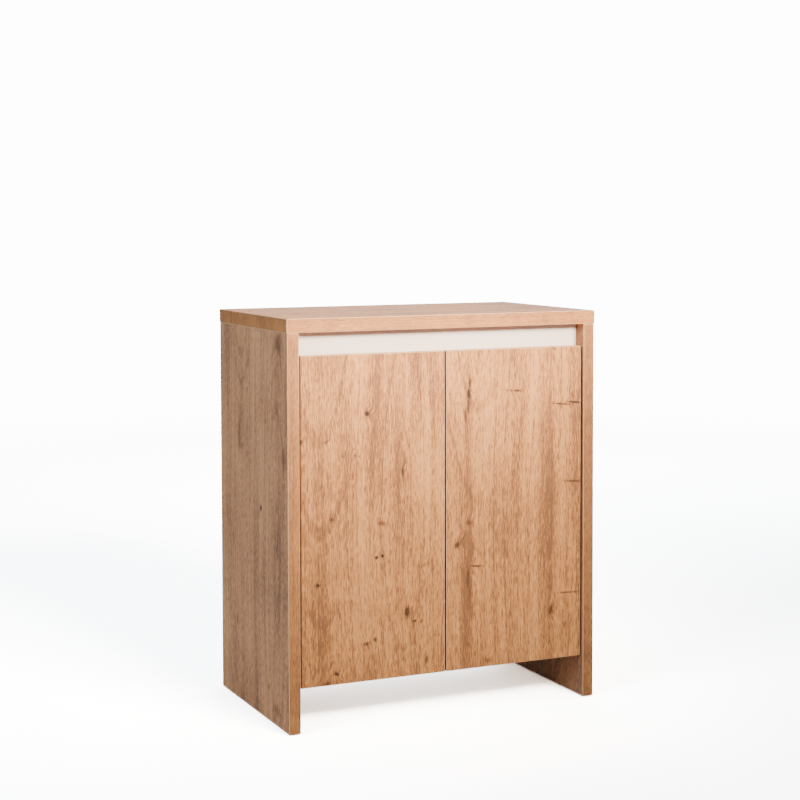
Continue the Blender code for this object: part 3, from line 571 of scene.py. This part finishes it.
class MetalLook(bpy.types.PropertyGroup):
    """Colours of the hinges, screws, cams and small parts."""

    nickel: FloatVectorProperty(name="Nickel", description="Plated steel of hinges, pins and screws",
                                default=(0.66, 0.63, 0.58), **COLOUR)
    nickel_worn: FloatVectorProperty(name="Dull nickel", description="Where the plating is dull",
                                     default=(0.47, 0.44, 0.40), **COLOUR)
    zinc: FloatVectorProperty(name="Zinc", description="Die-cast cams", default=(0.55, 0.56, 0.58), **COLOUR)
    zinc_dark: FloatVectorProperty(name="Dark zinc", description="Casting skin of the cams",
                                   default=(0.34, 0.35, 0.37), **COLOUR)
    beech: FloatVectorProperty(name="Beech", description="Dowels", default=(0.68, 0.47, 0.28), **COLOUR)
    beech_fleck: FloatVectorProperty(name="Beech flecks", description="Flecks of the dowels",
                                     default=(0.48, 0.29, 0.15), **COLOUR)
    bumper: FloatVectorProperty(name="Bumpers", description="Soft door bumpers", default=(0.74, 0.73, 0.70),
                                **COLOUR)
    bumper_edge: FloatVectorProperty(name="Bumper dust", description="Dust on the soft bumpers",
                                     default=(0.60, 0.58, 0.53), **COLOUR)
    plastic: FloatVectorProperty(name="Plastic", description="Nail-in glides", default=(0.022, 0.022, 0.023),
                                 **COLOUR)
    plastic_scuffed: FloatVectorProperty(name="Scuffed plastic", description="Scuffs on the glides",
                                         default=(0.07, 0.07, 0.07), **COLOUR)
    nickel_roughness: FloatProperty(name="Nickel roughness", description="Of the plated steel", default=0.24,
                                    **SHARE)
    zinc_roughness: FloatProperty(name="Zinc roughness", description="Of the die-cast cams", default=0.46,
                                  **SHARE)
    beech_roughness: FloatProperty(name="Beech roughness", description="Of the dowels", default=0.68, **SHARE)
    bumper_roughness: FloatProperty(name="Bumper roughness", description="Of the soft door bumpers",
                                    default=0.34, **SHARE)
    plastic_roughness: FloatProperty(name="Plastic roughness", description="Of the nail-in glides",
                                     default=0.5, **SHARE)
    bumper_depth: FloatProperty(name="Bumper depth", description="How far light goes into the soft bumpers",
                                unit="LENGTH", min=0, default=0.002)


def nickel_finish(look):
    """Bright plating with dull smears, over faintly rolled steel."""
    material, w, shader, place = new_finish(NICKEL)
    smears = w.noise(place, across=60, detail=3.0, roughness=0.6)
    rolled = w.noise(place, across=2600, along=160, roughness=0.6)
    colour = w.blend(w.step(smears, start=0.42, end=0.72), look.nickel, look.nickel_worn)
    rough = w.total(look.nickel_roughness, w.about_zero(rolled, spread=0.10),
                    w.about_zero(smears, spread=0.20))
    shader.inputs["Metallic"].default_value = 1.0
    surface(w, shader, colour, rough, rolled, depth=0.00002, strength=0.6)
    return material


def nickel_made():
    """The nickel finish, which the hinges' operator makes."""
    nickel = bpy.data.materials.get(NICKEL)
    if nickel is None:
        raise RuntimeError("finish the hinges before making any screws")
    return nickel


def zinc_finish(look):
    """A die casting's grainy skin, darker in patches."""
    material, w, shader, place = new_finish("Cast zinc")
    skin = w.noise(place, across=1100, detail=3.0, roughness=0.65)
    patches = w.step(w.noise(place, across=150), start=0.35, end=0.7)
    colour = w.blend(patches, look.zinc, look.zinc_dark)
    rough = w.total(look.zinc_roughness, w.about_zero(skin, spread=0.2))
    shader.inputs["Metallic"].default_value = 1.0
    surface(w, shader, colour, rough, skin, depth=0.00006, strength=0.7)
    return material


def beech_finish(look):
    """Raw beech with short flecks, its grain running along the cabinet's X, as the dowels do."""
    material, w, shader, place = new_finish("Beech dowel")
    grain = w.joined(*reversed(w.split(place)))
    flecks = w.noise(grain, across=1500, along=260, roughness=0.6)
    bands = w.noise(grain, across=420, along=14)
    share = w.math("ADD", w.step(flecks, start=0.58, end=0.72), w.about_zero(bands, spread=0.5), clamp=True)
    colour = w.blend(share, look.beech, look.beech_fleck)
    rough = w.total(look.beech_roughness, w.about_zero(bands, spread=0.14))
    surface(w, shader, colour, rough, flecks, depth=0.00012, strength=0.5)
    return material


def moulded_finish(name, clean, soiled, roughness, depth):
    """Moulded plastic or rubber with a fine skin and patches of wear; gives back its shader too."""
    material, w, shader, place = new_finish(name)
    skin = w.noise(place, across=1800, roughness=0.6)
    wear = w.noise(place, across=320, detail=3.0, roughness=0.65)
    colour = w.blend(w.step(wear, start=0.52, end=0.76), clean, soiled)
    rough = w.total(roughness, w.about_zero(wear, spread=0.18))
    surface(w, shader, colour, rough, skin, depth, strength=0.5)
    return material, shader


class CABINET_OT_hinges(bpy.types.Operator):
    """Finish the hinges, shelf pins and cam bolts in nickel plating"""

    bl_idname = "cabinet.hinges"
    bl_label = "Hinges, pins and bolts"

    def execute(self, context):
        nickel = nickel_finish(context.scene.cabinet_metal)
        paint(nickel, *(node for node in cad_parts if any(
            word in node for word in ("_hinge_", "shelf_pin_", "_bolt_"))))
        return {"FINISHED"}


class CABINET_OT_small_parts(bpy.types.Operator):
    """Finish the cams, dowels, door bumpers and glides"""

    bl_idname = "cabinet.small_parts"
    bl_label = "Cams, dowels, bumpers and glides"

    def execute(self, context):
        look = context.scene.cabinet_metal
        rubber, shader = moulded_finish("Soft bumper", look.bumper, look.bumper_edge, look.bumper_roughness,
                                        depth=0.00003)
        shader.inputs["Subsurface Weight"].default_value = 0.25
        shader.inputs["Subsurface Scale"].default_value = look.bumper_depth
        plastic, _ = moulded_finish("Black plastic", look.plastic, look.plastic_scuffed,
                                    look.plastic_roughness, depth=0.00005)
        finishes = {"_cam_": zinc_finish(look), "_dowel_": beech_finish(look), "door_bumper_": rubber,
                    "glide_": plastic}
        for word, finish in finishes.items():
            paint(finish, *(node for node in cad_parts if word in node))
        return {"FINISHED"}


# ---------------------------------------------------------------- screws
class ScrewLook(bpy.types.PropertyGroup):
    """Sizes of the screw heads."""

    head: FloatProperty(name="Head diameter", description="Of the hinge screws", unit="LENGTH", min=0.003,
                        default=0.0068)
    height: FloatProperty(name="Head height", description="Of the hinge screws", unit="LENGTH", min=0.0005,
                          default=0.0017)
    back_head: FloatProperty(name="Back screw head", description="Diameter of the back panel's screw heads",
                             unit="LENGTH", min=0.003, default=0.0070)
    back_height: FloatProperty(name="Back screw height", description="How far the back screws stand proud",
                               unit="LENGTH", min=0.0003, default=0.0009)
    recess: FloatProperty(name="Recess width", description="Width of each slot of the cross recess",
                          unit="LENGTH", min=0.0002, default=0.0010)
    sides: IntProperty(name="Sides", description="Sides of a screw head", min=8, max=48, default=24)


# The head's upright rim, as a share of its height, then the steps of its crown: how far each rises, also as
# a share of the height, and how much its face shrinks. The recess is half as deep as the cutters' height.
RIM_SHARE = 0.4
CROWN_STEPS = ((0.30, 0.88), (0.20, 0.78), (0.10, 0.70))
CUTTER_SHARE = 1.3


def screw_tree(name):
    """Geometry nodes: a cross-recessed head on every vertex, square to that vertex's facing."""
    tree, given, result = new_group(
        name, "GeometryNodeTree",
        [("Places", "Geometry"), ("Head diameter", "Float"), ("Head height", "Float"),
         ("Recess width", "Float"), ("Recess length", "Float"), ("Sides", "Int"), ("Turn seed", "Int"),
         ("Finish", "Material")],
        [("Screws", "Geometry")])
    w = Wiring(tree)
    height = given["Head height"]
    radius = w.math("MULTIPLY", given["Head diameter"], 0.5)
    rim = w.math("MULTIPLY", height, RIM_SHARE)
    blank = tree.nodes.new("GeometryNodeMeshCylinder")
    for label, value in (("Vertices", given["Sides"]), ("Radius", radius), ("Depth", rim)):
        w.give(blank.inputs[label], value)
    mesh, top = blank.outputs["Mesh"], blank.outputs["Top"]
    for rise, shrink in CROWN_STEPS:
        raised = tree.nodes.new("GeometryNodeExtrudeMesh")
        raised.mode = "FACES"
        for label, value in (("Mesh", mesh), ("Selection", top), ("Individual", False), ("Offset Scale", 1.0),
                             ("Offset", w.joined(z=w.math("MULTIPLY", height, rise)))):
            w.give(raised.inputs[label], value)
        mesh = w.add("GeometryNodeScaleElements", {"Geometry": raised.outputs["Mesh"],
                                                   "Selection": raised.outputs["Top"], "Scale": shrink})
        top = raised.outputs["Top"]
    head = w.add("GeometryNodeTransform", {"Geometry": mesh,
                                           "Translation": w.joined(z=w.math("MULTIPLY", rim, 0.5))})
    cutter_height = w.math("MULTIPLY", height, CUTTER_SHARE)
    cutter = tree.nodes.new("GeometryNodeMeshBoolean")
    cutter.operation = "DIFFERENCE"
    w.give(cutter.inputs["Mesh 1"], head)
    recess = (given["Recess width"], given["Recess length"])
    for size in (recess, recess[::-1]):
        slot = w.add("GeometryNodeMeshCube", {"Size": w.joined(*size, cutter_height)})
        slot = w.add("GeometryNodeTransform", {"Geometry": slot, "Translation": w.joined(z=height)})
        w.give(cutter.inputs["Mesh 2"], slot)
    spin = w.add("FunctionNodeRandomValue", {"Max": math.tau, "Seed": given["Turn seed"]}, data_type="FLOAT",
                 output="Value")
    facing = w.add("GeometryNodeInputNamedAttribute", {"Name": "facing"}, data_type="FLOAT_VECTOR")
    turn = w.add("FunctionNodeAlignRotationToVector", {
        "Rotation": w.add("FunctionNodeEulerToRotation", {0: w.joined(z=spin)}), "Vector": facing}, axis="Z")
    placed = w.add("GeometryNodeInstanceOnPoints", {
        "Points": given["Places"], "Instance": cutter.outputs["Mesh"], "Rotation": turn})
    real = w.add("GeometryNodeRealizeInstances", {"Geometry": placed})
    done = w.add("GeometryNodeSetMaterial", {"Geometry": real, "Material": given["Finish"]})
    w.give(result.inputs["Screws"], done)
    return tree


def made_screws(name, body, places, sizes, finish, seed):
    """One plain mesh with all the screws of a body; places are (point, facing) pairs."""
    mesh = bpy.data.meshes.new(name)
    mesh.from_pydata([point for point, _ in places], [], [])
    facing = mesh.attributes.new("facing", "FLOAT_VECTOR", "POINT")
    for entry, (_, direction) in zip(facing.data, places):
        entry.vector = direction
    screws = bpy.data.objects.new(name, mesh)
    bpy.context.scene.collection.objects.link(screws)
    tree = shared("Cross-recessed screws", screw_tree)
    modifier = screws.modifiers.new("Screws", "NODES")
    modifier.node_group = tree
    sockets = {item.name: item.identifier for item in tree.interface.items_tree if item.in_out == "INPUT"}
    for label, value in {**sizes, "Turn seed": seed, "Finish": finish}.items():
        modifier[sockets[label]] = value
    graph = bpy.context.evaluated_depsgraph_get()
    plain = bpy.data.meshes.new_from_object(screws.evaluated_get(graph), depsgraph=graph)
    screws.modifiers.clear()
    screws.data = plain
    plain.name = name
    if not plain.polygons:
        raise RuntimeError(f"{name} came out empty")
    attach(screws, body)


# Where the screws sit on the hinges. A hinge's middle is halfway up its mounting plate.
PLATE_SCREW_OFF_MIDDLE = 0.0165   # above and below the hinge's middle
PLATE_SCREW_BEHIND_DOOR = 0.038
PLATE_WING = 0.002                # thickness of the mounting plate's wings
ARM_SCREWS_BEHIND_DOOR = (0.036, 0.056)
ARM_FACE_FROM_DOOR_EDGE = 0.0216
CUP_SCREW_OFF_MIDDLE = 0.0245     # above and below the hinge's middle
CUP_SCREW_FROM_DOOR_EDGE = 0.0225
SCREW_SINK = 0.0001               # of every head into the face under it
RECESS_SHARE = 0.6                # of the head's diameter, as the length of the cross recess

BACK_SCREWS_IN_ROW = 5
BACK_SCREW_FROM_PANEL_EDGE = 0.030
BACK_SCREW_ABOVE_RAIL_MIDDLE = 0.022
BACK_RECESS_SHARE = 0.55


class CABINET_OT_hinge_screws(bpy.types.Operator):
    """Make the screws of the mounting plates, arms and cups"""

    bl_idname = "cabinet.hinge_screws"
    bl_label = "Hinge screws"

    def execute(self, context):
        look, nickel = context.scene.cabinet_screws, nickel_made()
        sizes = {"Head diameter": look.head, "Head height": look.height, "Recess width": look.recess,
                 "Recess length": look.head * RECESS_SHARE, "Sides": look.sides}
        for hand, side in HANDS.items():
            low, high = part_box(f"{hand}_door")
            door_edge = low.x if side < 0 else high.x
            plates, cups = [], []
            for level in LEVELS:
                hinge = f"{hand}_{level}_hinge"
                plate_low, plate_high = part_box(hinge + "_plate")
                middle = (plate_low.z + plate_high.z) / 2
                wall = (plate_low.x if side < 0 else plate_high.x) - side * (PLATE_WING - SCREW_SINK)
                arm = door_edge - side * (ARM_FACE_FROM_DOOR_EDGE - SCREW_SINK)
                cup_x = door_edge - side * CUP_SCREW_FROM_DOOR_EDGE
                cup_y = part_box(hinge + "_cup")[1].y - SCREW_SINK
                inward, backward = Vector((-side, 0, 0)), Vector((0, 1, 0))
                for upward in (-1, 1):
                    plates.append((Vector((wall, high.y + PLATE_SCREW_BEHIND_DOOR,
                                           middle + upward * PLATE_SCREW_OFF_MIDDLE)), inward))
                    cups.append((Vector((cup_x, cup_y, middle + upward * CUP_SCREW_OFF_MIDDLE)), backward))
                for behind in ARM_SCREWS_BEHIND_DOOR:
                    plates.append((Vector((arm, high.y + behind, middle)), inward))
            made_screws(f"{hand}_hinge_plate_screws", "root", plates, sizes, nickel, seed=3)
            made_screws(f"{hand}_hinge_cup_screws", f"{hand}_door", cups, sizes, nickel, seed=7)
        return {"FINISHED"}


class CABINET_OT_back_screws(bpy.types.Operator):
    """Make the screws that hold the back panel to the rear rail and the bottom panel"""

    bl_idname = "cabinet.back_screws"
    bl_label = "Back panel screws"

    def execute(self, context):
        look, nickel = context.scene.cabinet_screws, nickel_made()
        _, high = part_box("back_panel")
        rail_low, rail_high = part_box("rear_rail")
        bottom_low, bottom_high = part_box("bottom_panel")
        rows = ((rail_low.z + rail_high.z) / 2 + BACK_SCREW_ABOVE_RAIL_MIDDLE,
                (bottom_low.z + bottom_high.z) / 2)
        reach, half = high.x - BACK_SCREW_FROM_PANEL_EDGE, BACK_SCREWS_IN_ROW // 2
        places = [(Vector((reach * step / half, high.y - SCREW_SINK, row)), Vector((0, 1, 0)))
                  for row in rows for step in range(-half, half + 1)]
        sizes = {"Head diameter": look.back_head, "Head height": look.back_height,
                 "Recess width": look.recess, "Recess length": look.back_head * BACK_RECESS_SHARE,
                 "Sides": look.sides}
        made_screws("back_panel_screws", "root", places, sizes, nickel, seed=11)
        return {"FINISHED"}


# ---------------------------------------------------------------- stage
# Where each light stands, what it aims at, its width and height, its colour and its spread in degrees.
LIGHTS = {
    "key": ((0.30, -1.60, 1.34), (0.0, -0.17, 0.77), (1.0, 0.5), (1.0, 0.90, 0.78), 60),
    "upper": ((0.30, -1.60, 1.34), (0.0, -0.17, 1.02), (1.0, 0.4), (1.0, 0.88, 0.76), 40),
    "fill": ((-2.6, -1.1, 1.7), (-0.3, 0.0, 0.66), (1.6, 1.6), (0.84, 0.93, 1.0), 90),
    "back": ((1.6, 3.0, 1.6), (0.0, 0.0, 0.4), (2.0, 1.5), (1.0, 1.0, 1.0), 180),
}
BACK_SHARE = 2.0                  # the back light's power, against the fill light's
AMBIENT_TINT = (0.86, 0.93, 1.0)
WHITE = (1.0, 1.0, 1.0)

FLOOR_RADIUS = 7.0
FLOOR_SIDES = 48
FLOOR_FADE = (1.6, 5.0)           # how far out it starts to melt into the surroundings, and is gone
FLOOR_DULL = (0.50, 0.50, 0.50)   # what it throws back on the cabinet
FLOOR_BRIGHT = (16.0, 16.0, 16.0)  # what is seen of it

CAMERA_PLACE = (-1.3776, -3.0046, 0.9102)
CAMERA_YAW = -24.47               # degrees, from looking along Y
CAMERA_PITCH = -2.94
CAMERA_ROLL = -0.14
CAMERA_SHIFT = -0.12              # instead of a steeper pitch, so that uprights look upright


class StageLook(bpy.types.PropertyGroup):
    """Light, floor and camera."""

    key: FloatProperty(name="Key light", description="Power of the light in front", min=0, default=10.8)
    upper: FloatProperty(name="Upper light", description="Power of the light on the top", min=0, default=7.0)
    fill: FloatProperty(name="Fill light", description="Power of the light at the left", min=0, default=13.0)
    ambient: FloatProperty(name="Ambient", description="Light from all round", min=0, default=0.36)
    backdrop: FloatProperty(name="Backdrop", description="Brightness of the surroundings", min=0,
                            default=14.0)
    lens: FloatProperty(name="Lens", description="Focal length of the camera", unit="CAMERA", default=78.9)


def area_light(name, power, place, aim, size, colour, spread):
    """A soft light that isn't seen itself."""
    data = bpy.data.lights.new(name, "AREA")
    data.shape = "RECTANGLE"
    data.size, data.size_y = size
    data.energy = power
    data.color = colour
    data.spread = math.radians(spread)
    light = bpy.data.objects.new(name, data)
    light.matrix_world = (Matrix.Translation(place)
                          @ (Vector(aim) - Vector(place)).to_track_quat("-Z", "Y").to_matrix().to_4x4())
    light.visible_camera = False
    bpy.context.scene.collection.objects.link(light)


def white_surroundings(look):
    """A world that is plain white to look at and lights the cabinet softly."""
    world = bpy.data.worlds.new("White surroundings")
    world.use_nodes = True
    tree = world.node_tree
    tree.nodes.clear()
    w = Wiring(tree)
    seen = w.add("ShaderNodeLightPath", output="Is Camera Ray")
    strength = w.math("MULTIPLY_ADD", seen, look.backdrop - look.ambient, look.ambient)
    tint = w.blend(seen, AMBIENT_TINT, WHITE)
    light = w.add("ShaderNodeBackground", {"Color": tint, "Strength": strength})
    w.give(tree.nodes.new("ShaderNodeOutputWorld").inputs["Surface"], light)
    bpy.context.scene.world = world


def floor():
    """A pale floor that takes a soft shadow and melts into the surroundings."""
    mesh = bpy.data.meshes.new("floor")
    turns = [math.tau * corner / FLOOR_SIDES for corner in range(FLOOR_SIDES)]
    mesh.from_pydata([(FLOOR_RADIUS * math.cos(turn), FLOOR_RADIUS * math.sin(turn), 0.0) for turn in turns],
                     [], [range(FLOOR_SIDES)])
    made = bpy.data.objects.new("floor", mesh)
    bpy.context.scene.collection.objects.link(made)
    material = bpy.data.materials.new("Pale floor")
    material.use_nodes = True
    tree = material.node_tree
    tree.nodes.clear()
    w = Wiring(tree)
    seen = w.add("ShaderNodeLightPath", output="Is Camera Ray")
    place = w.add("ShaderNodeTexCoord", output="Object")
    far = w.step(w.vector("LENGTH", place, output=1), *FLOOR_FADE)
    dull = w.add("ShaderNodeBsdfDiffuse", {"Color": FLOOR_DULL})
    bright = w.add("ShaderNodeBsdfDiffuse", {"Color": FLOOR_BRIGHT})
    clear = w.add("ShaderNodeBsdfTransparent")
    lit = w.add("ShaderNodeMixShader", {0: seen, 1: dull, 2: bright})
    w.give(tree.nodes.new("ShaderNodeOutputMaterial").inputs["Surface"],
           w.add("ShaderNodeMixShader", {0: far, 1: lit, 2: clear}))
    mesh.materials.append(material)


def camera(look):
    """The camera, at the front left and a little above the cabinet."""
    data = bpy.data.cameras.new("camera")
    data.lens = look.lens
    data.shift_y = CAMERA_SHIFT
    made = bpy.data.objects.new("camera", data)
    made.matrix_world = (Matrix.Translation(CAMERA_PLACE)
                         @ Matrix.Rotation(math.radians(CAMERA_YAW), 4, "Z")
                         @ Matrix.Rotation(math.radians(90 + CAMERA_PITCH), 4, "X")
                         @ Matrix.Rotation(math.radians(CAMERA_ROLL), 4, "Z"))
    bpy.context.scene.collection.objects.link(made)
    bpy.context.scene.camera = made


class CABINET_OT_stage(bpy.types.Operator):
    """Set up the floor, the soft light and the camera"""

    bl_idname = "cabinet.stage"
    bl_label = "Stage"

    def execute(self, context):
        look = context.scene.cabinet_stage
        camera(look)
        white_surroundings(look)
        floor()
        powers = {"key": look.key, "upper": look.upper, "fill": look.fill, "back": look.fill * BACK_SHARE}
        for name, power in powers.items():
            area_light(name + " light", power, *LIGHTS[name])
        return {"FINISHED"}


# ---------------------------------------------------------------- sidebar and registration
class CABINET_PT_sidebar(bpy.types.Panel):
    """Lists the cabinet's operators with their sizes and colours"""

    bl_label = "Aquarium Stand Cabinet"
    bl_idname = "CABINET_PT_sidebar"
    bl_space_type = "VIEW_3D"
    bl_region_type = "UI"
    bl_category = "Cabinet"

    def draw(self, context):
        layout = self.layout
        for attribute, group, operators in SECTIONS:
            box = layout.box()
            settings = getattr(context.scene, attribute)
            for key in group.__annotations__:
                box.prop(settings, key)
            for operator in operators:
                box.operator(operator.bl_idname)


SECTIONS = (
    ("cabinet_stage", StageLook, (CABINET_OT_stage,)),
    ("cabinet_oak", OakLook, (CABINET_OT_oak_boards,)),
    ("cabinet_boards", BoardLook, (CABINET_OT_plain_boards,)),
    ("cabinet_metal", MetalLook, (CABINET_OT_hinges, CABINET_OT_small_parts)),
    ("cabinet_screws", ScrewLook, (CABINET_OT_hinge_screws, CABINET_OT_back_screws)),
)


def register():
    for attribute, group, operators in SECTIONS:
        bpy.utils.register_class(group)
        setattr(bpy.types.Scene, attribute, PointerProperty(type=group))
        for operator in operators:
            bpy.utils.register_class(operator)
    bpy.utils.register_class(CABINET_PT_sidebar)


def unregister():
    bpy.utils.unregister_class(CABINET_PT_sidebar)
    for attribute, group, operators in reversed(SECTIONS):
        for operator in reversed(operators):
            bpy.utils.unregister_class(operator)
        delattr(bpy.types.Scene, attribute)
        bpy.utils.unregister_class(group)


def main():
    """Calls every operator in order."""
    register()
    bpy.ops.cabinet.stage()
    bpy.ops.cabinet.oak_boards()
    bpy.ops.cabinet.plain_boards()
    bpy.ops.cabinet.hinges()
    bpy.ops.cabinet.small_parts()
    bpy.ops.cabinet.hinge_screws()
    bpy.ops.cabinet.back_screws()


if __name__ == "__main__":
    main()
